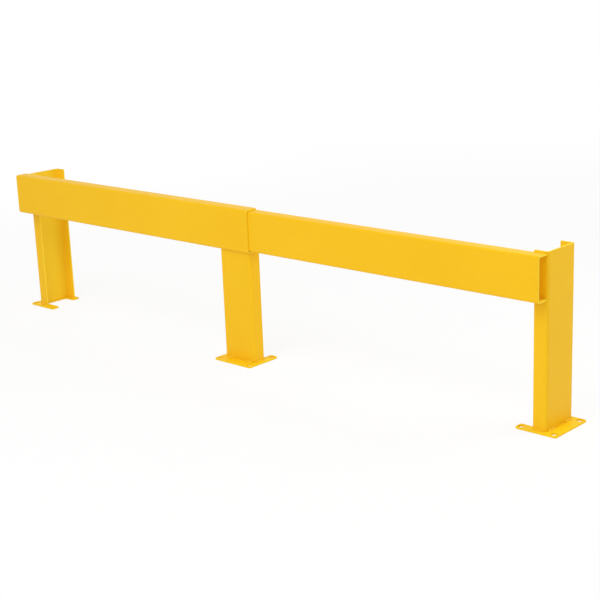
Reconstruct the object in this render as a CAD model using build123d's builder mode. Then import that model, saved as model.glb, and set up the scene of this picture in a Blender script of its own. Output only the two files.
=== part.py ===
from build123d import *
import os

# Telescopic floor guard rail: two nested folded rails on three folded posts.
# Right-handed frame, +Z up, +X along the rails, the rails' smooth face towards -Y.
# The origin is on the floor, under the middle of the whole guard's box.

# Overall sizes, in millimetres
guard_length = 1770.0
guard_height = 400.0
middle_post_from_left_web = 877.0

# Folded sheet
sheet = 4.0
inside_bend_radius = 2.0

# Post section
post_web = 104.0
post_flange = 34.0
middle_post_setback = 7.0

# Outer rail
outer_rail_height = 110.0
outer_rail_depth = 36.0
outer_rail_overhang = 12.0
outer_rail_past_post = 2.0

# Inner rail, which slides inside the outer one
running_clearance = 0.3
inner_rail_hidden_length = 430.0
inner_rail_recess = 4.0

# Notched base plates, measured from the folded post that stands on each
plate_thickness = 5.0
plate_outer_margin = 30.0
plate_side_margin = 11.0
plate_arm_width = 24.0
plate_long_arm_reach = 39.0
plate_short_arm_reach = 7.0
plate_notch_ledge = 2.0
plate_corner_radius = 5.0
plate_notch_radius = 12.0
anchor_hole_diameter = 16.0
anchor_hole_edge_distance = 11.0

# Fillet welds
weld_leg = 4.0
weld_crown = 0.5
web_stitch_length = 25.0

# Sizes that follow from the ones above
outside_bend_radius = inside_bend_radius + sheet
rail_step = sheet + running_clearance
inner_rail_height = outer_rail_height - 2 * rail_step
inner_rail_depth = outer_rail_depth - rail_step
post_web_flat = post_web - 2 * outside_bend_radius
post_flange_flat = post_flange - outside_bend_radius
plate_width = post_web + 2 * plate_side_margin

# Places along the guard
left_web_x = -guard_length / 2
right_web_x = guard_length / 2
middle_post_x = left_web_x + middle_post_from_left_web
outer_rail_left_x = left_web_x - outer_rail_overhang
outer_rail_right_x = middle_post_x + post_web / 2 + outer_rail_past_post
inner_rail_left_x = outer_rail_right_x - inner_rail_hidden_length
inner_rail_right_x = right_web_x - inner_rail_recess

# Places across the guard
middle_web_depth = outer_rail_depth - middle_post_setback
rail_back_y = (middle_web_depth + plate_outer_margin - post_web - plate_side_margin) / 2
end_post_y = rail_back_y + post_web / 2
middle_web_y = rail_back_y - middle_web_depth

# Places above the floor
rail_centre_z = guard_height - outer_rail_height / 2
rail_underside_z = guard_height - outer_rail_height
inner_rail_underside_z = rail_underside_z + rail_step
inner_rail_top_z = guard_height - rail_step

# Planes on the floor at the middle of each post's web, local X along the flanges
left_foot = Plane(origin=(left_web_x, end_post_y, 0), x_dir=(1, 0, 0))
right_foot = Plane(origin=(right_web_x, end_post_y, 0), x_dir=(-1, 0, 0))
middle_foot = Plane(origin=(middle_post_x, middle_web_y, 0), x_dir=(0, 1, 0))

# The plate's long arm lies on the +1 or -1 side of the local X axis
left_long_arm_side = -1
right_long_arm_side = 1
middle_long_arm_side = -1

os.makedirs("parts", exist_ok=True)


def folded_channel(web, flange):
    """Make a C section folded from sheet: web on the local Y axis, open towards local +X."""
    with BuildSketch() as section:
        with BuildLine():
            FilletPolyline(
                (flange, -web / 2),
                (0, -web / 2),
                (0, web / 2),
                (flange, web / 2),
                radius=outside_bend_radius,
            )
            offset(amount=sheet, side=Side.RIGHT)
        make_face()
    return section.sketch


def notched_plate(long_arm_side):
    """Make a base plate's outline, which frames the post's open side with two unequal arms."""
    long_tip = post_flange + plate_long_arm_reach
    short_tip = post_flange + plate_short_arm_reach
    notch_start = sheet + plate_notch_ledge
    outer_edge = plate_width / 2
    notch_edge = outer_edge - plate_arm_width
    with BuildSketch() as outline:
        with BuildLine():
            Polyline(
                (-plate_outer_margin, -long_arm_side * outer_edge),
                (-plate_outer_margin, long_arm_side * outer_edge),
                (long_tip, long_arm_side * outer_edge),
                (long_tip, long_arm_side * notch_edge),
                (notch_start, long_arm_side * notch_edge),
                (notch_start, -long_arm_side * notch_edge),
                (short_tip, -long_arm_side * notch_edge),
                (short_tip, -long_arm_side * outer_edge),
                close=True,
            )
        make_face()
        notch_corners = outline.vertices().group_by(Axis.X)[1]
        plate_corners = outline.vertices() - notch_corners
        fillet(notch_corners, radius=plate_notch_radius)
        fillet(plate_corners, radius=plate_corner_radius)
    return outline.sketch


def anchor_hole_places(long_arm_side):
    """Give the local centres of a plate's anchor holes: two beside the web, one at the long tip."""
    web_side = anchor_hole_edge_distance - plate_outer_margin
    long_tip = post_flange + plate_long_arm_reach - anchor_hole_edge_distance
    across = plate_width / 2 - anchor_hole_edge_distance
    return [
        (web_side, -long_arm_side * across),
        (web_side, long_arm_side * across),
        (long_tip, long_arm_side * across),
    ]


def weld_section_plane(seam_start, face_normal, growth):
    """Give the plane of a fillet weld's section, square to its seam.

    The bead leans on a face with the given normal and grows along growth from the other face.
    """
    normal = Vector(face_normal)
    return Plane(origin=seam_start, x_dir=normal, z_dir=normal.cross(Vector(growth)))


def fillet_weld():
    """Make a fillet weld's section: two legs along the local axes and a crowned face."""
    crown = weld_leg / 2 + weld_crown
    with BuildSketch() as section:
        with BuildLine():
            Line((0, 0), (weld_leg, 0))
            ThreePointArc((weld_leg, 0), (crown, crown), (0, weld_leg))
            Line((0, weld_leg), (0, 0))
        make_face()
    return section.sketch


def foot_stitches(foot):
    """List the section plane and length of each weld stitch round the outside of a post's foot.

    Two stitches lie at the ends of the web's flat, and one along each flange's flat.
    """
    deck = foot.offset(plate_thickness)
    half_web = post_web / 2
    web_end = post_web_flat / 2
    stitches = []
    for start, face_normal, length in (
        ((0, -web_end, 0), -deck.x_dir, web_stitch_length),
        ((0, web_end - web_stitch_length, 0), -deck.x_dir, web_stitch_length),
        ((outside_bend_radius, half_web, 0), deck.y_dir, post_flange_flat),
        ((post_flange, -half_web, 0), -deck.y_dir, post_flange_flat),
    ):
        seam_start = deck.from_local_coords(start)
        stitches.append((weld_section_plane(seam_start, face_normal, (0, 0, 1)), length))
    return stitches


def rail_stitches(flat_left_x, seams):
    """List the section planes of the welds between a post's front flange and a rail's flanges.

    Each seam is given by its height and by the way its bead grows from there, 1 up or -1 down.
    """
    flat_right_x = flat_left_x + post_flange_flat
    planes = []
    for seam_z, growth in seams:
        start_x = flat_right_x if growth > 0 else flat_left_x
        seam_start = (start_x, rail_back_y, seam_z)
        planes.append(weld_section_plane(seam_start, (0, -1, 0), (0, 0, growth)))
    return planes


# Base plates, laser-cut, each with three anchor holes
with BuildPart() as left_base_plate:
    with BuildSketch(left_foot):
        add(notched_plate(left_long_arm_side))
    extrude(amount=plate_thickness)
    with Locations(left_foot.offset(plate_thickness)):
        with Locations(*anchor_hole_places(left_long_arm_side)):
            Hole(anchor_hole_diameter / 2)
left_base_plate.part.label = "left_base_plate"
export_step(left_base_plate.part, "parts/left_base_plate.step")

with BuildPart() as middle_base_plate:
    with BuildSketch(middle_foot):
        add(notched_plate(middle_long_arm_side))
    extrude(amount=plate_thickness)
    with Locations(middle_foot.offset(plate_thickness)):
        with Locations(*anchor_hole_places(middle_long_arm_side)):
            Hole(anchor_hole_diameter / 2)
middle_base_plate.part.label = "middle_base_plate"
export_step(middle_base_plate.part, "parts/middle_base_plate.step")

with BuildPart() as right_base_plate:
    with BuildSketch(right_foot):
        add(notched_plate(right_long_arm_side))
    extrude(amount=plate_thickness)
    with Locations(right_foot.offset(plate_thickness)):
        with Locations(*anchor_hole_places(right_long_arm_side)):
            Hole(anchor_hole_diameter / 2)
right_base_plate.part.label = "right_base_plate"
export_step(right_base_plate.part, "parts/right_base_plate.step")

# Posts, each one folded sheet standing on its plate
with BuildPart() as left_post:
    with BuildSketch(left_foot.offset(plate_thickness)):
        add(folded_channel(post_web, post_flange))
    extrude(amount=guard_height - plate_thickness)
left_post.part.label = "left_post"
export_step(left_post.part, "parts/left_post.step")

with BuildPart() as right_post:
    with BuildSketch(right_foot.offset(plate_thickness)):
        add(folded_channel(post_web, post_flange))
    extrude(amount=guard_height - plate_thickness)
right_post.part.label = "right_post"
export_step(right_post.part, "parts/right_post.step")

with BuildPart() as middle_post:
    with BuildSketch(middle_foot.offset(plate_thickness)):
        add(folded_channel(post_web, post_flange))
    extrude(amount=rail_underside_z - plate_thickness)
middle_post.part.label = "middle_post"
export_step(middle_post.part, "parts/middle_post.step")

# Outer rail, folded, open at the back and at both ends
outer_rail_end = Plane(
    origin=(outer_rail_left_x, rail_back_y - outer_rail_depth, rail_centre_z),
    x_dir=(0, 1, 0),
    z_dir=(1, 0, 0),
)
with BuildPart() as outer_rail:
    with BuildSketch(outer_rail_end):
        add(folded_channel(outer_rail_height, outer_rail_depth))
    extrude(amount=outer_rail_right_x - outer_rail_left_x)
outer_rail.part.label = "outer_rail"
export_step(outer_rail.part, "parts/outer_rail.step")

# Inner rail, folded, nested in the outer rail's right half
inner_rail_end = Plane(
    origin=(inner_rail_left_x, rail_back_y - inner_rail_depth, rail_centre_z),
    x_dir=(0, 1, 0),
    z_dir=(1, 0, 0),
)
with BuildPart() as inner_rail:
    with BuildSketch(inner_rail_end):
        add(folded_channel(inner_rail_height, inner_rail_depth))
    extrude(amount=inner_rail_right_x - inner_rail_left_x)
inner_rail.part.label = "inner_rail"
export_step(inner_rail.part, "parts/inner_rail.step")

# Welds between each post and its base plate
for weld_name, foot in (
    ("left_foot_weld", left_foot),
    ("middle_foot_weld", middle_foot),
    ("right_foot_weld", right_foot),
):
    with BuildPart() as foot_weld:
        for stitch_plane, stitch_length in foot_stitches(foot):
            with BuildSketch(stitch_plane):
                add(fillet_weld())
            extrude(amount=stitch_length)
    foot_weld.part.label = weld_name
    export_step(foot_weld.part, f"parts/{weld_name}.step")

# Welds between the rails and the end posts: both inside the outer rail, and the inner rail's
# upper one on its top, where the post stands a little higher
for weld_name, flat_left_x, seams in (
    (
        "left_rail_weld",
        left_web_x + outside_bend_radius,
        ((rail_underside_z + sheet, 1), (guard_height - sheet, -1)),
    ),
    (
        "right_rail_weld",
        right_web_x - post_flange,
        ((inner_rail_underside_z + sheet, 1), (inner_rail_top_z, 1)),
    ),
):
    with BuildPart() as rail_weld:
        for stitch_plane in rail_stitches(flat_left_x, seams):
            with BuildSketch(stitch_plane):
                add(fillet_weld())
            extrude(amount=post_flange_flat)
    rail_weld.part.label = weld_name
    export_step(rail_weld.part, f"parts/{weld_name}.step")

# Weld behind the middle post's web, under the outer rail
middle_seam_start = (middle_post_x + post_web_flat / 2, middle_web_y + sheet, rail_underside_z)
with BuildPart() as middle_rail_weld:
    with BuildSketch(weld_section_plane(middle_seam_start, (0, 1, 0), (0, 0, -1))):
        add(fillet_weld())
    extrude(amount=post_web_flat)
middle_rail_weld.part.label = "middle_rail_weld"
export_step(middle_rail_weld.part, "parts/middle_rail_weld.step")
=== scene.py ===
"""Dressed scene of a telescopic floor guard rail in yellow powder-coated sheet steel.

Two nested folded rails stand on three folded posts with notched base plates. Every piece is made
again with the softened edges and the skin that the coat gives it, at the place where its solid
stands. Lengths are in metres, in the frame of the solids: +Z up, +X along the rails.
"""

import logging
import math
from dataclasses import dataclass, field
from enum import Enum

import bpy
from mathutils import Matrix, Vector


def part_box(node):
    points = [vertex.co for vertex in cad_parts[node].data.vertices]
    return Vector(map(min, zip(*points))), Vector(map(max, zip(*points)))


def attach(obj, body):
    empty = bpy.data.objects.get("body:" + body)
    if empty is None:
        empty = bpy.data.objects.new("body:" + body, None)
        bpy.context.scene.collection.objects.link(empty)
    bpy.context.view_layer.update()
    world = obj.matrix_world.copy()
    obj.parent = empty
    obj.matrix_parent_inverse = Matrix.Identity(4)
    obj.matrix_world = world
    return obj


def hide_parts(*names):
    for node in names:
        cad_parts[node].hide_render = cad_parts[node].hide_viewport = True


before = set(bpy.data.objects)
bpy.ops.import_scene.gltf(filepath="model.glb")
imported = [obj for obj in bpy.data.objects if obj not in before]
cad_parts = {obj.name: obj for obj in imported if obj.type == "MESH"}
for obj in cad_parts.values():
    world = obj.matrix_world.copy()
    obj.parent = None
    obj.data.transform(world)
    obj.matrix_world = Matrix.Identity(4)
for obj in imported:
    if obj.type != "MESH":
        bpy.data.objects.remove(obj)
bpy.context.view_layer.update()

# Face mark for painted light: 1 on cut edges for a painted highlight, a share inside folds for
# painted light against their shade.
PAINTED_LIGHT_MARK = "painted_light_mark"
SAME_POINT_DISTANCE = 1e-6
FLAT_FACE_WEIGHT = 50
WHITE = (1.0, 1.0, 1.0, 1.0)

log = logging.getLogger("guard_rail")


class Heading(Enum):
    """A direction along one of the frame's axes."""

    RIGHT = Vector((1, 0, 0))
    LEFT = Vector((-1, 0, 0))
    BACK = Vector((0, 1, 0))
    FRONT = Vector((0, -1, 0))
    UP = Vector((0, 0, 1))
    DOWN = Vector((0, 0, -1))


class Side(Enum):
    """The side of a plate's centre line, seen along the post's open side, that has the long arm."""

    PLUS = 1
    MINUS = -1


@dataclass
class Graph:
    """A node tree with short ways to add and join nodes.

    Args:
        tree: The node tree that the nodes go into.
    """

    tree: bpy.types.NodeTree

    def add(
        self, kind: str, settings: dict[str, object] | None = None, **inputs: object
    ) -> bpy.types.Node:
        """Add a node and fill its inputs.

        Args:
            kind: Blender's name of the node type.
            settings: Properties to set on the node itself.
            **inputs: Input names, with underscores for spaces, and a value or a socket for each.

        Returns:
            The new node.
        """
        node = self.tree.nodes.new(kind)
        for name, value in (settings or {}).items():
            setattr(node, name, value)
        for name, value in inputs.items():
            self.fill(node.inputs[name.replace("_", " ")], value)
        return node

    def fill(self, socket: bpy.types.NodeSocket, value: object) -> None:
        """Join a socket to another one, or set its value.

        Args:
            socket: The input to fill.
            value: An output socket, a node whose first output is meant, or a plain value.
        """
        if isinstance(value, bpy.types.Node):
            value = value.outputs[0]
        if isinstance(value, bpy.types.NodeSocket):
            self.tree.links.new(value, socket)
        else:
            socket.default_value = value

    def maths(self, operation: str, *values: object) -> bpy.types.NodeSocket:
        """Add a Math node.

        Args:
            operation: The operation's name, such as MULTIPLY.
            *values: One to three sockets or numbers.

        Returns:
            The node's result.
        """
        node = self.tree.nodes.new("ShaderNodeMath")
        node.operation = operation
        for socket, value in zip(node.inputs, values):
            self.fill(socket, value)
        return node.outputs[0]

    def mixed(self, share: object, first: object, second: object) -> bpy.types.NodeSocket:
        """Mix two colours.

        Args:
            share: How much of the second colour there is, as a socket or a number.
            first: The first colour, as a socket or a value.
            second: The second colour, likewise.

        Returns:
            The mixed colour.
        """
        node = self.tree.nodes.new("ShaderNodeMix")
        node.data_type = "RGBA"
        sockets = {socket.identifier: socket for socket in node.inputs}
        self.fill(sockets["Factor_Float"], share)
        self.fill(sockets["A_Color"], first)
        self.fill(sockets["B_Color"], second)
        return next(socket for socket in node.outputs if socket.identifier == "Result_Color")

    def point(self, x: object = 0.0, y: object = 0.0, z: object = 0.0) -> bpy.types.NodeSocket:
        """Join three numbers or sockets into one vector and return its socket."""
        return self.add("ShaderNodeCombineXYZ", X=x, Y=y, Z=z).outputs[0]


@dataclass(frozen=True)
class PowderCoat:
    """A baked polyester powder coat on steel.

    Args:
        name: The material's name.
        colour: The coat's colour where it lies thick, linear.
        thin_colour: The colour where it lies thinner, linear.
        painted_light_colour: The paler colour of the painted light: a painted highlight on a cut
            edge
        and, by a share, painted light against the shade inside a fold, or nothing where the
        coat is the same all round.
        roughness: The lowest and highest roughness.
        specular: The strength of the plain reflection.
        peel_pitch: The size of the skin's fine waves.
        peel_height: The height of those waves.
        cloud_size: The size of the slow changes of tone.
        grains_per_cloud: How many of the quick changes of tone lie across a slow one.
        grain_share: How much the quick changes add to the slow ones.
        tone_range: The noise at which the coat begins to thin, and that at which it is thin.
    """

    name: str
    colour: tuple[float, float, float]
    thin_colour: tuple[float, float, float]
    painted_light_colour: tuple[float, float, float] | None = None
    roughness: tuple[float, float] = (0.40, 0.50)
    specular: float = 0.15
    peel_pitch: float = 0.0022
    peel_height: float = 0.00002
    cloud_size: float = 0.25
    grains_per_cloud: float = 18.0
    grain_share: float = 0.3
    tone_range: tuple[float, float] = (0.45, 0.85)

    def material(self) -> bpy.types.Material:
        """Build the coat's material.

        Returns:
            The material, patterned on Object coordinates.
        """
        material = bpy.data.materials.new(self.name)
        material.use_nodes = True
        material.node_tree.nodes.clear()
        graph = Graph(material.node_tree)
        place = graph.add("ShaderNodeTexCoord").outputs["Object"]
        clouds, grain, peel = (
            graph.add("ShaderNodeTexNoise", Vector=place, Scale=scale, Detail=detail).outputs["Fac"]
            for scale, detail in (
                (1 / self.cloud_size, 3.0),
                (self.grains_per_cloud / self.cloud_size, 2.0),
                (1 / self.peel_pitch, 1.0),
            )
        )
        tone = graph.maths("MULTIPLY_ADD", grain, self.grain_share, clouds)
        thick, thin = self.tone_range
        blend = graph.add("ShaderNodeMapRange", Value=tone, From_Min=thick, From_Max=thin)
        colour = graph.mixed(blend, (*self.colour, 1.0), (*self.thin_colour, 1.0))
        # Painted light: the mark lays a painted highlight on cut edges and paler, painted light
        # inside the folds.
        if self.painted_light_colour is not None:
            painted_light = graph.add("ShaderNodeAttribute", {"attribute_name": PAINTED_LIGHT_MARK})
            colour = graph.mixed(painted_light.outputs["Fac"], colour, (*self.painted_light_colour, 1.0))
        smooth, rough = self.roughness
        gloss = graph.add("ShaderNodeMapRange", Value=grain, To_Min=smooth, To_Max=rough)
        skin = graph.add("ShaderNodeBump", Strength=1.0, Distance=self.peel_height, Height=peel)
        shader = graph.add(
            "ShaderNodeBsdfPrincipled", Base_Color=colour, Roughness=gloss, Normal=skin
        )
        shader.inputs["Specular IOR Level"].default_value = self.specular
        graph.add("ShaderNodeOutputMaterial", Surface=shader)
        return material


SHEET_COAT = PowderCoat(
    name="coat_on_sheet",
    colour=(0.93, 0.535, 0.007),
    thin_colour=(0.95, 0.560, 0.010),
    # Paler yellow for the painted light: painted highlight on cut edges, painted light inside folds.
    painted_light_colour=(0.99, 0.700, 0.030),
)
PLATE_COAT = PowderCoat(
    name="coat_on_plate",
    # Paler than the sheet's coat: painted light against the shade and orange bounce light round the
    # posts' feet.
    colour=(0.96, 0.615, 0.010),
    thin_colour=(0.97, 0.635, 0.013),
    specular=0.08,
    cloud_size=0.08,
)
BEAD_COAT = PowderCoat(
    name="coat_on_bead",
    colour=(0.93, 0.550, 0.012),
    thin_colour=(0.90, 0.510, 0.009),
    roughness=(0.30, 0.42),
    peel_pitch=0.0009,
    cloud_size=0.006,
)


@dataclass(frozen=True)
class Placement:
    """Where a piece's own frame stands: its origin, its X direction and its Z direction.

    Args:
        origin: The own frame's origin.
        x_dir: The own X direction.
        z_dir: The own Z direction.
    """

    origin: Vector
    x_dir: Vector
    z_dir: Vector

    def matrix(self) -> Matrix:
        """Return the matrix that carries the own frame to its place."""
        turn = Matrix((self.x_dir, self.z_dir.cross(self.x_dir), self.z_dir)).transposed()
        return Matrix.Translation(self.origin) @ turn.to_4x4()

    def point(self, x: float, y: float, z: float) -> Vector:
        """Return a point of the own frame at its place."""
        return self.matrix() @ Vector((x, y, z))


def centre_and_size(node: str) -> tuple[Vector, Vector]:
    """Give the middle and the size of a solid's box.

    Args:
        node: The solid's name.

    Returns:
        The box's middle and its size.
    """
    low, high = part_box(node)
    return (low + high) / 2, high - low


def length_along(size: Vector, heading: Vector) -> float:
    """Return a box's length along a direction of the frame."""
    return abs(size.dot(heading))


def plain_mesh(source: bpy.types.Object, name: str) -> bpy.types.Mesh:
    """Turn an object with its modifiers into a plain mesh, and remove the object.

    Args:
        source: The object to evaluate.
        name: The new mesh's name.

    Returns:
        The mesh.
    """
    graph = bpy.context.evaluated_depsgraph_get()
    mesh = bpy.data.meshes.new_from_object(source.evaluated_get(graph))
    mesh.name = name
    data = source.data
    bpy.data.objects.remove(source)
    if isinstance(data, bpy.types.Curve):
        bpy.data.curves.remove(data)
    elif data.users == 0:
        bpy.data.meshes.remove(data)
    return mesh


def linked_object(name: str, data: bpy.types.ID) -> bpy.types.Object:
    """Make an object and link it to the scene.

    Args:
        name: The object's name.
        data: Its mesh, curve, light or camera.

    Returns:
        The object.
    """
    made = bpy.data.objects.new(name, data)
    bpy.context.scene.collection.objects.link(made)
    return made


def shade_flat(holder: bpy.types.Object) -> None:
    """Shade an object by its large faces, so that they look flat and its roundings soft.

    Args:
        holder: The object, which gets a modifier.
    """
    shading = holder.modifiers.new("shading", "WEIGHTED_NORMAL")
    shading.mode = "FACE_AREA"
    shading.weight = FLAT_FACE_WEIGHT


@dataclass
class SolidTree:
    """A Geometry Nodes tree that makes one form from named sizes.

    Args:
        name: The tree's name.
        sizes: Each input's name and its usual value.
    """

    name: str
    sizes: dict[str, float]
    tree: bpy.types.NodeTree = field(init=False)
    graph: Graph = field(init=False)
    given: bpy.types.Node = field(init=False)

    def __post_init__(self) -> None:
        """Make the tree with its inputs and its output."""
        self.tree = bpy.data.node_groups.new(self.name, "GeometryNodeTree")
        sockets = self.tree.interface
        sockets.new_socket("Geometry", in_out="OUTPUT", socket_type="NodeSocketGeometry")
        for size, usual in self.sizes.items():
            socket = sockets.new_socket(size, in_out="INPUT", socket_type="NodeSocketFloat")
            socket.default_value = usual
        sockets.new_socket("Coat", in_out="INPUT", socket_type="NodeSocketMaterial")
        self.graph = Graph(self.tree)
        self.given = self.graph.add("NodeGroupInput")
        self.build()

    def build(self) -> None:
        """Fill the tree. Each form does this in its own way."""
        raise NotImplementedError

    def close(self, form: object) -> None:
        """Realize the form, give it its coat and send it out.

        Args:
            form: The socket or node that holds the geometry.
        """
        real = self.graph.add("GeometryNodeRealizeInstances", Geometry=form)
        coated = self.graph.add(
            "GeometryNodeSetMaterial", Geometry=real, Material=self.given.outputs["Coat"]
        )
        self.graph.add("NodeGroupOutput", Geometry=coated)

    def mesh(self, name: str, coat: bpy.types.Material, **sizes: float) -> bpy.types.Mesh:
        """Run the tree once.

        Args:
            name: The mesh's name.
            coat: The material to lay on the form.
            **sizes: The input values to use, with underscores for spaces.

        Returns:
            A plain mesh in the form's own frame.
        """
        holder = linked_object(name, bpy.data.meshes.new(name))
        modifier = holder.modifiers.new(self.name, "NODES")
        modifier.node_group = self.tree
        sockets = {
            item.name: item.identifier
            for item in self.tree.interface.items_tree
            if item.in_out == "INPUT"
        }
        for size, value in sizes.items():
            modifier[sockets[size.replace("_", " ")]] = value
        modifier[sockets["Coat"]] = coat
        return plain_mesh(holder, name)


@dataclass
class FoldedChannelTree(SolidTree):
    """The tree of a C section folded from sheet.

    The web's outer face lies on the own YZ plane, the section opens towards +X and runs along +Z.
    Its cut edges are marked with 1 for a painted highlight, and its inner side with its own share
    of painted light against the shade there.

    Args:
        name: The tree's name.
        sizes: Each input's name and its usual value.
        steps_per_bend: How finely the arc of a bend is divided.
    """

    name: str = "folded_channel"
    sizes: dict[str, float] = field(
        default_factory=lambda: {
            "Web": 0.104,
            "Flange": 0.034,
            "Sheet": 0.004,
            "Inside Bend Radius": 0.002,
            "Length": 0.4,
            # Share of painted light inside the folds.
            "Inside Share": 0.6,
        }
    )
    steps_per_bend: int = 8

    def build(self) -> None:
        """Fold the outer line, run it along Z and give the sheet its thickness."""
        graph = self.graph
        size = self.given.outputs
        half_web = graph.maths("MULTIPLY", size["Web"], 0.5)
        low = graph.maths("MULTIPLY", half_web, -1.0)
        radius = graph.maths("ADD", size["Inside Bend Radius"], size["Sheet"])
        outline = graph.add("GeometryNodeCurvePrimitiveQuadrilateral", {"mode": "POINTS"})
        corners = ((size["Flange"], low), (0.0, low), (0.0, half_web), (size["Flange"], half_web))
        for number, (x, y) in enumerate(corners, start=1):
            graph.fill(outline.inputs[f"Point {number}"], graph.point(x, y))
        opened = graph.add("GeometryNodeSetSplineCyclic", Geometry=outline, Cyclic=False)
        folded = graph.add(
            "GeometryNodeFilletCurve",
            {"mode": "POLY"},
            Curve=opened,
            Count=self.steps_per_bend,
            Radius=radius,
        )
        edge = graph.add("GeometryNodeCurveToMesh", Curve=folded)
        outer = graph.add(
            "GeometryNodeExtrudeMesh",
            {"mode": "EDGES"},
            Mesh=edge,
            Offset=graph.point(z=size["Length"]),
            Offset_Scale=1.0,
        )
        facing_in = graph.add("GeometryNodeFlipFaces", Mesh=outer)
        inner = graph.add(
            "GeometryNodeExtrudeMesh",
            {"mode": "FACES"},
            Mesh=facing_in,
            Offset_Scale=size["Sheet"],
            Individual=False,
        )
        # Painted light mark: 1 on cut edges for a painted highlight, the inside share of painted
        # light on the inner faces.
        painted_light = graph.add(
            "GeometryNodeStoreNamedAttribute",
            {"data_type": "FLOAT", "domain": "FACE"},
            Geometry=inner.outputs["Mesh"],
            Name=PAINTED_LIGHT_MARK,
            Value=graph.maths("MAXIMUM", inner.outputs["Side"], size["Inside Share"]),
        )
        facing_out = graph.add("GeometryNodeFlipFaces", Mesh=facing_in)
        both = graph.add("GeometryNodeJoinGeometry")
        graph.fill(both.inputs[0], painted_light)
        graph.fill(both.inputs[0], facing_out)
        whole = graph.add(
            "GeometryNodeMergeByDistance", Geometry=both, Distance=SAME_POINT_DISTANCE
        )
        self.close(whole)


@dataclass
class WeldBeadTree(SolidTree):
    """The tree of a rippled fillet weld.

    The seam runs along the own +X axis from the origin, and the bead leans on the faces that look
    along +Y and +Z.

    Args:
        name: The tree's name.
        sizes: Each input's name and its usual value.
        step: The distance between the bead's sections.
        arc_points: The number of points on a section's arc.
        wander_scale: How fast the ripples wander along the seam.
        wander_ripples: How many ripples the wander shifts them by.
        ripple_power: The power that makes each ripple's fall steeper at its end.
        lowest_swell: The bead's smallest size, as a share of its leg, without the ripples.
        swell_range: How much the wander adds to that.
        taper_length: The length of the taper at each end, in legs.
        taper_power: The power that rounds that taper.
        blunt_end: The smallest size at an end, as a share of the size in the middle.
    """

    name: str = "weld_bead"
    sizes: dict[str, float] = field(
        default_factory=lambda: {
            "Length": 0.025,
            "Leg": 0.004,
            "Ripple Pitch": 0.0017,
            "Ripple Height": 0.10,
            "Hollow": 0.17,
            "Seed": 1.0,
        }
    )
    step: float = 0.00025
    arc_points: int = 12
    wander_scale: float = 260.0
    wander_ripples: float = 1.5
    ripple_power: float = 0.6
    lowest_swell: float = 0.80
    swell_range: float = 0.30
    taper_length: float = 0.6
    taper_power: float = 0.5
    blunt_end: float = 0.35

    def build(self) -> None:
        """Sweep a crowned section along the seam, swelling and waning with the ripples."""
        graph = self.graph
        size = self.given.outputs
        seam = graph.add("GeometryNodeCurvePrimitiveLine", End=graph.point(x=size["Length"]))
        seam = graph.add(
            "GeometryNodeResampleCurve", {"mode": "LENGTH"}, Curve=seam, Length=self.step
        )
        run = graph.add("GeometryNodeSplineParameter").outputs["Length"]
        wander = graph.add(
            "ShaderNodeTexNoise",
            {"noise_dimensions": "2D"},
            Vector=graph.point(run, size["Seed"]),
            Scale=self.wander_scale,
            Detail=2.0,
        ).outputs["Fac"]
        ripples = graph.maths("DIVIDE", run, size["Ripple Pitch"])
        ripples = graph.maths("MULTIPLY_ADD", wander, self.wander_ripples, ripples)
        fall = graph.maths("SUBTRACT", 1.0, graph.maths("FRACT", ripples))
        fall = graph.maths("POWER", fall, self.ripple_power)
        ripple = graph.maths("MULTIPLY", fall, size["Ripple Height"])
        swell = graph.maths("MULTIPLY_ADD", wander, self.swell_range, self.lowest_swell)
        swell = graph.maths("ADD", swell, ripple)
        to_end = graph.maths("MINIMUM", run, graph.maths("SUBTRACT", size["Length"], run))
        taper_run = graph.maths("MULTIPLY", size["Leg"], self.taper_length)
        taper = graph.maths("MINIMUM", graph.maths("DIVIDE", to_end, taper_run), 1.0)
        taper = graph.maths("POWER", taper, self.taper_power)
        taper = graph.maths("MAXIMUM", taper, self.blunt_end)
        seam = graph.add(
            "GeometryNodeSetCurveRadius",
            Curve=seam,
            Radius=graph.maths("MULTIPLY", swell, taper),
        )
        section = graph.add(
            "GeometryNodeCurveArc",
            Resolution=self.arc_points,
            Radius=size["Leg"],
            Start_Angle=-math.pi,
            Sweep_Angle=math.pi / 2,
            Connect_Center=True,
        )
        section = self.hollowed(section)
        bead = graph.add(
            "GeometryNodeCurveToMesh", Curve=seam, Profile_Curve=section, Fill_Caps=True
        )
        self.close(graph.add("GeometryNodeSetShadeSmooth", Geometry=bead, Shade_Smooth=True))

    def hollowed(self, section: bpy.types.Node) -> bpy.types.Node:
        """Draw the quarter round in at its middle, to a crowned fillet.

        Args:
            section: The node that makes the quarter round.

        Returns:
            The node that holds the fillet's section.
        """
        graph = self.graph
        size = self.given.outputs
        place = graph.add("GeometryNodeInputPosition")
        parts = graph.add("ShaderNodeSeparateXYZ", Vector=place).outputs
        share = graph.maths("DIVIDE", parts["X"], size["Leg"])
        other = graph.maths("DIVIDE", parts["Y"], size["Leg"])
        both = graph.maths("ABSOLUTE", graph.maths("MULTIPLY", share, other))
        both = graph.maths("MULTIPLY", both, graph.maths("MULTIPLY", size["Hollow"], 2.0))
        scale = graph.maths("SUBTRACT", 1.0, both)
        moved = graph.add("ShaderNodeVectorMath", {"operation": "SCALE"}, Scale=scale)
        graph.fill(moved.inputs[0], place)
        return graph.add("GeometryNodeSetPosition", Geometry=section, Position=moved)


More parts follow.
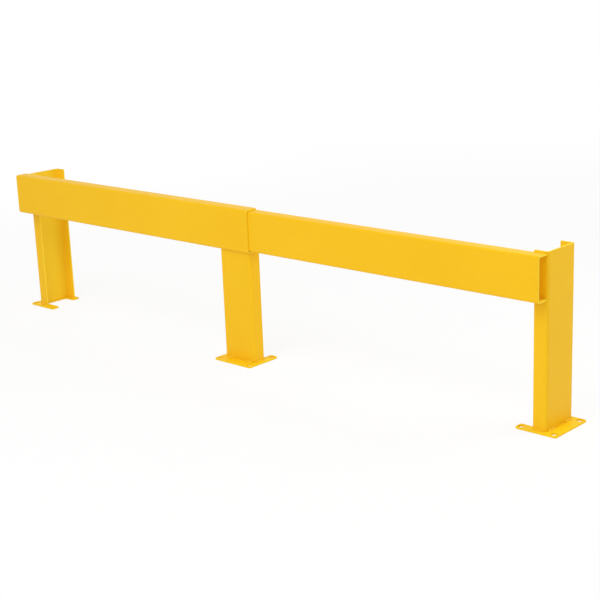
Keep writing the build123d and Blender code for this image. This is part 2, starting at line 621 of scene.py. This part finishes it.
@dataclass
class Piece:
    """A finished piece: one mesh at its place, on its body, in its coat.

    Args:
        name: The piece's name.
        body: The body that it moves with.
        stands_for: The solid that it is shown in place of.
    """

    name: str
    body: str
    stands_for: str

    def dress(
        self, mesh: bpy.types.Mesh, coat: bpy.types.Material, place: Matrix | None = None
    ) -> None:
        """Args:
            mesh: The mesh, in the piece's own frame.
            coat: The coat's material.
            place: The matrix to its place, or nothing where it is there already.
        """
        if place is not None:
            mesh.transform(place)
        mesh.materials.clear()
        mesh.materials.append(coat)
        made = linked_object(self.name, mesh)
        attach(made, self.body)
        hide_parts(self.stands_for)
        log.info("%s rides on %s, %d faces", self.name, self.body, len(mesh.polygons))


@dataclass
class EdgeSoftening:
    """The rounding that the coat gives to cut edges.

    Args:
        radius: The rounding's radius.
        steps: The number of faces across a rounding.
        sharpest: Edges that turn by more than this angle are rounded.
    """

    radius: float = 0.0005
    steps: int = 3
    sharpest: float = math.radians(40)

    def apply(self, mesh: bpy.types.Mesh) -> bpy.types.Mesh:
        """Round a mesh's cut edges and keep its flat faces flat.

        Args:
            mesh: The mesh to round.

        Returns:
            A new mesh.
        """
        name = mesh.name
        mesh.shade_smooth()
        holder = linked_object(name, mesh)
        rounding = holder.modifiers.new("rounding", "BEVEL")
        rounding.width = self.radius
        rounding.segments = self.steps
        rounding.limit_method = "ANGLE"
        rounding.angle_limit = self.sharpest
        rounding.use_clamp_overlap = False
        shade_flat(holder)
        return plain_mesh(holder, name)


@dataclass
class FoldedSheet:
    """A post or a rail: one sheet folded to a C section.

    Args:
        node: The solid that it stands for.
        body: The body that it moves with.
        opening: The side that the section opens to.
        run: The direction that the section runs in.
        sheet: The sheet's thickness.
        inside_bend_radius: The radius inside the bends.
        inside_light_share: How much painted light lies inside the folds, against their shade, from 0
            to 1.
    """

    node: str
    body: str
    opening: Heading
    run: Heading
    sheet: float = 0.004
    inside_bend_radius: float = 0.002
    inside_light_share: float = 0.6
    placement: Placement = field(init=False)
    web: float = field(init=False)
    flange: float = field(init=False)
    length: float = field(init=False)

    def __post_init__(self) -> None:
        """Read the section's sizes and its place from the solid's box."""
        centre, size = centre_and_size(self.node)
        opening, run = self.opening.value, self.run.value
        across = run.cross(opening)
        self.web = length_along(size, across)
        self.flange = length_along(size, opening)
        self.length = length_along(size, run)
        origin = centre - opening * self.flange / 2 - run * self.length / 2
        self.placement = Placement(origin, opening, run)

    @property
    def outside_bend_radius(self) -> float:
        """The radius outside the bends."""
        return self.inside_bend_radius + self.sheet

    @property
    def web_flat(self) -> float:
        """The web's flat width between its bends."""
        return self.web - 2 * self.outside_bend_radius

    @property
    def flange_flat(self) -> float:
        """The flange's flat width beyond its bend."""
        return self.flange - self.outside_bend_radius

    def build(self, tree: FoldedChannelTree, coat: bpy.types.Material) -> None:
        """Fold the sheet, soften its cut edges and put it in place.

        Args:
            tree: The tree that folds the section.
            coat: The coat's material.
        """
        mesh = tree.mesh(
            self.node,
            coat,
            Web=self.web,
            Flange=self.flange,
            Sheet=self.sheet,
            Inside_Bend_Radius=self.inside_bend_radius,
            Length=self.length,
            Inside_Share=self.inside_light_share,
        )
        mesh = EdgeSoftening().apply(mesh)
        piece = Piece(f"coated_{self.node}", self.body, self.node)
        piece.dress(mesh, coat, self.placement.matrix())


@dataclass
class Seam:
    """One straight seam of a weld.

    Args:
        start: The seam's start, in the frame of the solids.
        face_normal: The normal of the face that the bead leans on.
        growth: The direction that the bead grows in along that face.
        length: The seam's length.
    """

    start: Vector
    face_normal: Vector
    growth: Vector
    length: float

    def matrix(self) -> Matrix:
        """Return the matrix that carries the bead's own frame to the seam."""
        run = self.face_normal.cross(self.growth)
        return Placement(self.start, run, self.growth).matrix()


@dataclass
class WeldGroup:
    """The beads that one solid stands for, made as one piece.

    Args:
        node: The solid that they stand for.
        body: The body that they move with.
        seams: The seams to lay.
        leg: The fillet's leg.
        seed: The first seam's seed for the ripples' wander.
    """

    node: str
    body: str
    seams: list[Seam]
    leg: float = 0.0037
    seed: float = 1.0

    def build(self, tree: WeldBeadTree, coat: bpy.types.Material) -> None:
        """Lay every bead and join them.

        Args:
            tree: The tree that lays a bead.
            coat: The coat's material.
        """
        holder = linked_object(self.node, bpy.data.meshes.new(self.node))
        parts = [holder]
        for number, seam in enumerate(self.seams):
            mesh = tree.mesh(
                f"{self.node}_{number}",
                coat,
                Length=seam.length,
                Leg=self.leg,
                Seed=self.seed + number,
            )
            mesh.transform(seam.matrix())
            parts.append(linked_object(mesh.name, mesh))
        with bpy.context.temp_override(active_object=holder, selected_editable_objects=parts):
            bpy.ops.object.join()
        joined = plain_mesh(holder, self.node)
        Piece(f"coated_{self.node}", self.body, self.node).dress(joined, coat)


@dataclass
class BasePlate:
    """A notched base plate with three anchor holes, in the frame of the post that stands on it.

    Args:
        node: The solid that it stands for.
        post: The post that stands on it.
        long_arm: The side that has the long arm.
        arm_width: The width of both arms.
        short_arm_reach: How far the short arm passes the post's flanges.
        notch_ledge: How far the plate shows inside the post's web.
        corner_radius: The radius of the plate's corners.
        notch_radius: The radius of the notch's inner corners.
        hole_diameter: The anchor holes' diameter.
        hole_edge_distance: The distance of a hole's centre from the nearest edges.
        edge_rounding: The radius that the coat gives to the cut edges.
        rounding_steps: How finely that rounding is divided.
    """

    node: str
    post: FoldedSheet
    long_arm: Side
    arm_width: float = 0.024
    short_arm_reach: float = 0.007
    notch_ledge: float = 0.002
    corner_radius: float = 0.005
    notch_radius: float = 0.012
    hole_diameter: float = 0.016
    hole_edge_distance: float = 0.011
    edge_rounding: float = 0.0006
    rounding_steps: int = 2
    thickness: float = field(init=False)
    width: float = field(init=False)
    outer_margin: float = field(init=False)
    long_tip: float = field(init=False)
    placement: Placement = field(init=False)

    def __post_init__(self) -> None:
        """Read the plate's outer sizes from the solid's box."""
        centre, size = centre_and_size(self.node)
        opening = self.post.opening.value
        up = self.post.run.value
        length = length_along(size, opening)
        self.thickness = length_along(size, up)
        self.width = length_along(size, up.cross(opening))
        origin = self.post.placement.origin - up * self.thickness
        self.placement = Placement(origin, opening, up)
        self.long_tip = (centre - origin).dot(opening) + length / 2
        self.outer_margin = length - self.long_tip

    def outline(self) -> list[tuple[float, float, float]]:
        """Give the corners of the outline with the radius of each.

        Returns:
            The corners, in order, as x, y and radius.
        """
        side = self.long_arm.value
        edge = side * self.width / 2
        notch = edge - side * self.arm_width
        start = self.post.sheet + self.notch_ledge
        short_tip = self.post.flange + self.short_arm_reach
        plate, inner = self.corner_radius, self.notch_radius
        corners = [
            (-self.outer_margin, -edge, plate),
            (-self.outer_margin, edge, plate),
            (self.long_tip, edge, plate),
            (self.long_tip, notch, plate),
            (start, notch, inner),
            (start, -notch, inner),
            (short_tip, -notch, plate),
            (short_tip, -edge, plate),
        ]
        return corners if side < 0 else corners[::-1]

    def hole_centres(self) -> list[tuple[float, float]]:
        """Give the centres of the anchor holes: two beside the web, one at the long arm's tip.

        Returns:
            The centres, as x and y.
        """
        web_side = self.hole_edge_distance - self.outer_margin
        tip = self.long_tip - self.hole_edge_distance
        across = self.long_arm.value * (self.width / 2 - self.hole_edge_distance)
        return [(web_side, -across), (web_side, across), (tip, across)]

    def build(self, coat: bpy.types.Material) -> None:
        """Cut the plate from its outline and its holes, and put it in place.

        Args:
            coat: The coat's material.
        """
        curve = bpy.data.curves.new(self.node, "CURVE")
        curve.dimensions = "2D"
        curve.fill_mode = "BOTH"
        curve.extrude = self.thickness / 2 - self.edge_rounding
        curve.bevel_depth = self.edge_rounding
        curve.bevel_resolution = self.rounding_steps
        curve.offset = -self.edge_rounding
        add_closed_line(curve, rounded_line(self.outline()))
        for centre in self.hole_centres():
            add_closed_line(curve, circle_line(centre, self.hole_diameter / 2))
        mesh = merged(plain_mesh(linked_object(self.node, curve), self.node))
        middle = Matrix.Translation((0, 0, self.thickness / 2))
        piece = Piece(f"coated_{self.node}", self.post.body, self.node)
        piece.dress(mesh, coat, self.placement.matrix() @ middle)


def rounded_line(
    corners: list[tuple[float, float, float]], steps: int = 10
) -> list[tuple[float, float]]:
    """Round the corners of a closed line with arcs.

    Args:
        corners: The corners, as x, y and radius.
        steps: The number of pieces in each arc.

    Returns:
        The points of the rounded line.
    """
    points = []
    for number, (x, y, radius) in enumerate(corners):
        corner = Vector((x, y))
        before = (Vector(corners[number - 1][:2]) - corner).normalized()
        after = (Vector(corners[(number + 1) % len(corners)][:2]) - corner).normalized()
        half_turn = before.angle(after) / 2
        centre = corner + (before + after).normalized() * radius / math.sin(half_turn)
        first = corner + before * radius / math.tan(half_turn) - centre
        last = corner + after * radius / math.tan(half_turn) - centre
        sweep = first.angle_signed(last)
        for step in range(steps + 1):
            spoke = first.copy()
            spoke.rotate(Matrix.Rotation(-sweep * step / steps, 2))
            points.append(tuple(centre + spoke))
    return points


def circle_line(
    centre: tuple[float, float], radius: float, steps: int = 48
) -> list[tuple[float, float]]:
    """Give the points of a circle.

    Args:
        centre: The circle's centre.
        radius: The circle's radius.
        steps: The number of points.

    Returns:
        The points, in order.
    """
    angles = [2 * math.pi * step / steps for step in range(steps)]
    return [(centre[0] + radius * math.cos(a), centre[1] + radius * math.sin(a)) for a in angles]


def add_closed_line(curve: bpy.types.Curve, points: list[tuple[float, float]]) -> None:
    """Add a closed line of straight steps to a flat curve.

    Args:
        curve: The curve to add to.
        points: The line's points.
    """
    line = curve.splines.new("POLY")
    line.points.add(len(points) - 1)
    for target, (x, y) in zip(line.points, points):
        target.co = (x, y, 0.0, 1.0)
    line.use_cyclic_u = True


def merged(mesh: bpy.types.Mesh) -> bpy.types.Mesh:
    """Weld a mesh's doubled points and shade it with its large faces flat.

    Args:
        mesh: The mesh to mend.

    Returns:
        A new mesh.
    """
    name = mesh.name
    mesh.shade_smooth()
    holder = linked_object(name, mesh)
    weld = holder.modifiers.new("weld", "WELD")
    weld.merge_threshold = SAME_POINT_DISTANCE
    shade_flat(holder)
    return plain_mesh(holder, name)


@dataclass
class Coats:
    """The three coats as materials, made once.

    Args:
        sheet: The coat on folded sheet.
        plate: The coat on the base plates.
        bead: The coat on the welds.
    """

    sheet: bpy.types.Material = field(default_factory=SHEET_COAT.material)
    plate: bpy.types.Material = field(default_factory=PLATE_COAT.material)
    bead: bpy.types.Material = field(default_factory=BEAD_COAT.material)


@dataclass
class Forms:
    """The two trees of forms, made once.

    Args:
        channel: The tree of the folded sections.
        bead: The tree of the weld beads.
    """

    channel: FoldedChannelTree = field(default_factory=FoldedChannelTree)
    bead: WeldBeadTree = field(default_factory=WeldBeadTree)


@dataclass
class FootedPost:
    """A folded post, the base plate under it and the welds between them.

    Args:
        where: The post's place in the guard, which starts the names of its solids.
        body: The body that it moves with.
        opening: The side that the post opens to.
        long_arm: The side of the plate that has the long arm.
        web_stitch: The length of each weld stitch beside the web.
        seed: The seed of the welds' ripples.
    """

    where: str
    body: str
    opening: Heading
    long_arm: Side
    web_stitch: float = 0.025
    seed: float = 1.0
    post: FoldedSheet = field(init=False)

    def __post_init__(self) -> None:
        """Read the post from its solid."""
        self.post = FoldedSheet(f"{self.where}_post", self.body, self.opening, Heading.UP)

    def foot_seams(self) -> list[Seam]:
        """List the seams round the outside of the post's foot.

        Returns:
            Two seams beside the web and one beside each flange.
        """
        post = self.post
        place = post.placement
        up = post.run.value
        outwards = -post.opening.value
        sideways = up.cross(post.opening.value)
        web_end, half_web = post.web_flat / 2, post.web / 2
        return [
            Seam(place.point(0, -web_end, 0), outwards, up, self.web_stitch),
            Seam(place.point(0, web_end - self.web_stitch, 0), outwards, up, self.web_stitch),
            Seam(place.point(post.outside_bend_radius, half_web, 0), sideways, up, post.flange_flat),
            Seam(place.point(post.flange, -half_web, 0), -sideways, up, post.flange_flat),
        ]

    def build(self, forms: Forms, coats: Coats) -> None:
        """Build the post, its plate and its welds.

        Args:
            forms: The trees of forms.
            coats: The materials.
        """
        self.post.build(forms.channel, coats.sheet)
        BasePlate(f"{self.where}_base_plate", self.post, self.long_arm).build(coats.plate)
        welds = WeldGroup(f"{self.where}_foot_weld", self.body, self.foot_seams(), seed=self.seed)
        welds.build(forms.bead, coats.bead)


@dataclass
class EndedRail:
    """A folded rail and the welds between its flanges and the end post's front flange.

    Args:
        node: The rail's solid.
        weld_node: The solid of the welds.
        body: The body that it moves with.
        post: The end post that it is welded to.
        upper_growth: The way the upper bead grows: down inside the rail, or up from its top.
        seed: The seed of the welds' ripples.
        inside_light_share: How much painted light lies inside the rail's folds, from 0 to 1.
    """

    node: str
    weld_node: str
    body: str
    post: FoldedSheet
    upper_growth: Heading
    seed: float
    # The rails' insides get the full painted light.
    inside_light_share: float = 1.0
    rail: FoldedSheet = field(init=False)

    def __post_init__(self) -> None:
        """Read the rail from its solid."""
        self.rail = FoldedSheet(
            self.node, self.body, Heading.BACK, Heading.RIGHT, inside_light_share=self.inside_light_share
        )

    def seams(self) -> list[Seam]:
        """List the seam on the rail's lower flange and the one at its upper flange.

        Returns:
            The two seams.
        """
        rail_low, rail_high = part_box(self.node)
        inside, top = rail_low.z + self.rail.sheet, rail_high.z
        if self.upper_growth is Heading.DOWN:
            top -= self.rail.sheet
        return [self.seam(inside, Heading.UP), self.seam(top, self.upper_growth)]

    def seam(self, height: float, growth: Heading) -> Seam:
        """Give a seam along the flat of the post's front flange.

        Args:
            height: The seam's height.
            growth: The way the bead grows from there, up or down.

        Returns:
            The seam.
        """
        post_low, post_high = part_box(self.post.node)
        bend = self.post.outside_bend_radius
        opens_right = self.post.opening is Heading.RIGHT
        flat_left = post_low.x + (bend if opens_right else 0.0)
        flat_right = post_high.x - (0.0 if opens_right else bend)
        start = Vector((flat_right if growth is Heading.UP else flat_left, post_low.y, height))
        return Seam(start, Heading.FRONT.value, growth.value, self.post.flange_flat)

    def build(self, forms: Forms, coats: Coats) -> None:
        """Build the rail and its welds.

        Args:
            forms: The trees of forms.
            coats: The materials.
        """
        self.rail.build(forms.channel, coats.sheet)
        welds = WeldGroup(self.weld_node, self.body, self.seams(), seed=self.seed)
        welds.build(forms.bead, coats.bead)


@dataclass
class Guard:
    """The whole guard: three footed posts and two nested rails.

    Args:
        fixed_body: The body of the left half, which the outer rail is in.
        sliding_body: The body of the right half, which the inner rail is in.
    """

    fixed_body: str = "outer_section"
    sliding_body: str = "inner_section"

    def build(self) -> None:
        """Build every piece of the guard."""
        forms, coats = Forms(), Coats()
        left = FootedPost("left", self.fixed_body, Heading.RIGHT, Side.MINUS, seed=10.0)
        middle = FootedPost("middle", self.fixed_body, Heading.BACK, Side.MINUS, seed=20.0)
        right = FootedPost("right", self.sliding_body, Heading.LEFT, Side.PLUS, seed=30.0)
        for footed in (left, middle, right):
            footed.build(forms, coats)
        outer = EndedRail(
            "outer_rail", "left_rail_weld", self.fixed_body, left.post, Heading.DOWN, seed=40.0
        )
        inner = EndedRail(
            "inner_rail", "right_rail_weld", self.sliding_body, right.post, Heading.UP, seed=50.0
        )
        for ended in (outer, inner):
            ended.build(forms, coats)
        self.middle_rail_weld(middle.post).build(forms.bead, coats.bead)

    def middle_rail_weld(self, post: FoldedSheet) -> WeldGroup:
        """Give the weld behind the middle post's web, under the outer rail.

        Args:
            post: The middle post.

        Returns:
            The weld, not yet built.
        """
        start = post.placement.point(post.sheet, -post.web_flat / 2, post.length)
        seam = Seam(start, Heading.BACK.value, Heading.DOWN.value, post.web_flat)
        return WeldGroup("middle_rail_weld", self.fixed_body, [seam], seed=60.0)


@dataclass(frozen=True)
class AreaLamp:
    """A square lamp that looks at a point of the guard.

    Args:
        name: The lamp's name.
        place: Where it hangs.
        size: The side of its square.
        power: Its power in watts.
        target: The point that it looks at.
    """

    name: str
    place: tuple[float, float, float]
    size: float
    power: float
    target: tuple[float, float, float] = (0.1, 0.0, 0.2)

    def hang(self) -> None:
        """Put the lamp in the scene."""
        light = bpy.data.lights.new(self.name, "AREA")
        light.shape = "SQUARE"
        light.size = self.size
        light.energy = self.power
        lamp = linked_object(self.name, light)
        lamp.visible_glossy = False
        lamp.location = self.place
        aim = Vector(self.target) - Vector(self.place)
        lamp.rotation_euler = aim.to_track_quat("-Z", "Y").to_euler()


@dataclass(frozen=True)
class PhotoCamera:
    """The camera at the photograph's viewpoint.

    Args:
        place: The camera's place.
        heading: The turn from +Y towards +X.
        pitch: The tilt up from level.
        roll: The turn about the line of sight, right side up.
        focal_length: The lens, in millimetres.
        sensor_width: The sensor's width, in millimetres.
        far_limit: The distance up to which the camera sees, in metres.
    """

    place: tuple[float, float, float] = (2.31735, -2.31387, 1.05134)
    heading: float = math.radians(-43.0492)
    pitch: float = math.radians(-15.4680)
    roll: float = math.radians(-2.2571)
    focal_length: float = 79.714
    sensor_width: float = 36.0
    far_limit: float = 200.0

    def set_up(self) -> None:
        """Make the camera and give it to the scene."""
        level = math.cos(self.pitch)
        forward = Vector(
            (
                math.sin(self.heading) * level,
                math.cos(self.heading) * level,
                math.sin(self.pitch),
            )
        )
        right = forward.cross(Heading.UP.value).normalized()
        up = right.cross(forward)
        right_rolled = right * math.cos(self.roll) + up * math.sin(self.roll)
        turn = Matrix((right_rolled, (-forward).cross(right_rolled), -forward)).transposed()
        lens = bpy.data.cameras.new("photo_camera")
        lens.lens = self.focal_length
        lens.sensor_width = self.sensor_width
        lens.clip_end = self.far_limit
        camera = linked_object("photo_camera", lens)
        camera.matrix_world = Matrix.Translation(self.place) @ turn.to_4x4()
        bpy.context.scene.camera = camera


@dataclass(frozen=True)
class Studio:
    """The pale floor, the soft light and the camera.

    Args:
        floor_half_width: Half the floor's side.
        floor_colour: The floor's colour, linear.
        shadow_share: How much of the floor's look near the guard comes from the light on it.
        shadow_reach: The distances from the middle between which that share fades to nothing.
        surround: The strength of the light from all round.
        lamps: The lamps.
    """

    floor_half_width: float = 60.0
    floor_colour: tuple[float, float, float] = (0.96, 0.96, 0.96)
    shadow_share: float = 0.16
    shadow_reach: tuple[float, float] = (1.6, 4.0)
    surround: float = 0.52
    lamps: tuple[AreaLamp, ...] = (
        AreaLamp("key_lamp", (0.9, -1.9, 3.2), size=1.6, power=29.0),
        AreaLamp("fill_lamp", (0.1, -3.0, 2.8), size=2.4, power=35.0),
        AreaLamp("right_rim_lamp", (2.6, 3.0, 0.9), size=1.6, power=15.0),
        AreaLamp("left_rim_lamp", (-3.2, 1.8, 0.8), size=1.6, power=20.0),
        AreaLamp("back_lamp", (0.1, 2.8, 3.0), size=2.4, power=14.0),
        AreaLamp("end_lamp", (1.3, 0.5, 1.2), size=0.5, power=3.7, target=(0.75, 0.0, 0.35)),
    )

    def set_up(self) -> None:
        """Make the floor, the surround, the lamps and the camera."""
        self.floor()
        self.world()
        for lamp in self.lamps:
            lamp.hang()
        PhotoCamera().set_up()
        bpy.context.scene.view_settings.view_transform = "Standard"

    @staticmethod
    def white_rays(graph: Graph) -> bpy.types.NodeSocket:
        """Tell the rays that see plain white from those that carry light.

        Args:
            graph: The tree that asks.

        Returns:
            A socket that is 1 for camera, glossy and transmission rays.
        """
        path = graph.add("ShaderNodeLightPath").outputs
        seen = graph.maths("MAXIMUM", path["Is Camera Ray"], path["Is Glossy Ray"])
        return graph.maths("MAXIMUM", seen, path["Is Transmission Ray"])

    def floor(self) -> None:
        """Lay the floor, which is white to the eye and still takes the guard's shadow."""
        material = bpy.data.materials.new("floor")
        material.use_nodes = True
        material.node_tree.nodes.clear()
        graph = Graph(material.node_tree)
        lit = graph.add("ShaderNodeBsdfDiffuse", Color=(*self.floor_colour, 1.0))
        white = graph.add("ShaderNodeEmission", Color=WHITE, Strength=1.0)
        place = graph.add("ShaderNodeTexCoord").outputs["Object"]
        away = graph.add("ShaderNodeVectorMath", {"operation": "LENGTH"})
        graph.fill(away.inputs[0], place)
        near, far = self.shadow_reach
        plain = graph.add(
            "ShaderNodeMapRange",
            {"interpolation_type": "SMOOTHSTEP"},
            Value=away.outputs["Value"],
            From_Min=near,
            From_Max=far,
            To_Min=1.0 - self.shadow_share,
            To_Max=1.0,
        )
        share = graph.maths("MULTIPLY", self.white_rays(graph), plain)
        mix = graph.add("ShaderNodeMixShader", Fac=share)
        graph.fill(mix.inputs[1], lit)
        graph.fill(mix.inputs[2], white)
        graph.add("ShaderNodeOutputMaterial", Surface=mix)
        half = self.floor_half_width
        mesh = bpy.data.meshes.new("floor")
        mesh.from_pydata(
            [(-half, -half, 0), (half, -half, 0), (half, half, 0), (-half, half, 0)],
            [],
            [(0, 1, 2, 3)],
        )
        mesh.materials.append(material)
        linked_object("floor", mesh)

    def world(self) -> None:
        """Light the scene from all round, white to the eye."""
        world = bpy.data.worlds.new("surround")
        world.use_nodes = True
        world.node_tree.nodes.clear()
        graph = Graph(world.node_tree)
        seen = self.white_rays(graph)
        strength = graph.add("ShaderNodeMapRange", Value=seen, To_Min=self.surround, To_Max=1.0)
        background = graph.add("ShaderNodeBackground", Color=WHITE, Strength=strength)
        graph.add("ShaderNodeOutputWorld", Surface=background)
        bpy.context.scene.world = world


def main() -> None:
    """Build the guard and its studio."""
    logging.basicConfig(level=logging.INFO, format="%(message)s")
    Guard().build()
    Studio().set_up()


if __name__ == "__main__":
    main()
